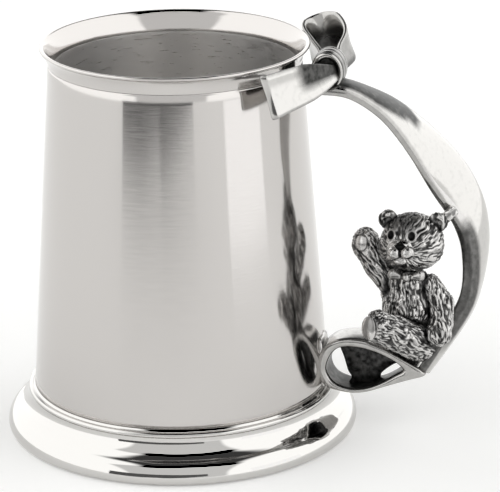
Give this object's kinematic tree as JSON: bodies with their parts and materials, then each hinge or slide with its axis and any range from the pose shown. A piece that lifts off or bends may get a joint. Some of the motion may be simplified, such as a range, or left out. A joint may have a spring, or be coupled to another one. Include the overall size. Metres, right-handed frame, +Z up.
{
  "type": "pewter mug with ribbon handle",
  "caption": "Lidless tapered mug with a flared lip, a moulded foot and a cast ribbon handle with a bow and a seated bear.",
  "frame": {"origin": "centre of the foot, on the plane the mug rests on", "axes": "+Z up along the barrel's axis; +X from the barrel through the handle; +Y to the left of a person who looks along +X"},
  "size_m": [0.0975, 0.0716, 0.0831],
  "materials": {
    "polished_pewter": "polished pewter with a soft, slightly warm mirror",
    "satin_pewter": "satin pewter with fine turning lines round the inside",
    "cast_pewter": "cast pewter, polished on the crowns and dark in the recesses",
    "antiqued_pewter": "antiqued pewter: dark in the fur strokes, buffed bright on the high points",
    "solder": "dressed pewter solder"
  },
  "bodies": {
    "root": {"barrel": "polished_pewter", "cup_floor": "satin_pewter", "foot_ring": "polished_pewter", "foot_solder": "solder", "handle_ribbon": "cast_pewter", "handle_scroll": "cast_pewter", "scroll_web": "antiqued_pewter", "upper_solder": "solder", "lower_solder": "solder", "bow_knot": "cast_pewter", "bow_loop_near": "cast_pewter", "bow_loop_far": "cast_pewter", "bear_body": "antiqued_pewter", "bear_head": "antiqued_pewter", "bear_muzzle": "antiqued_pewter", "bear_ears": "antiqued_pewter", "bear_tie": "antiqued_pewter", "bear_raised_arm": "antiqued_pewter", "bear_lowered_arm": "antiqued_pewter", "bear_near_leg": "antiqued_pewter", "bear_far_leg": "antiqued_pewter", "bear_sole_pads": "antiqued_pewter", "ear_web": "antiqued_pewter"}
  },
  "joints": []
}
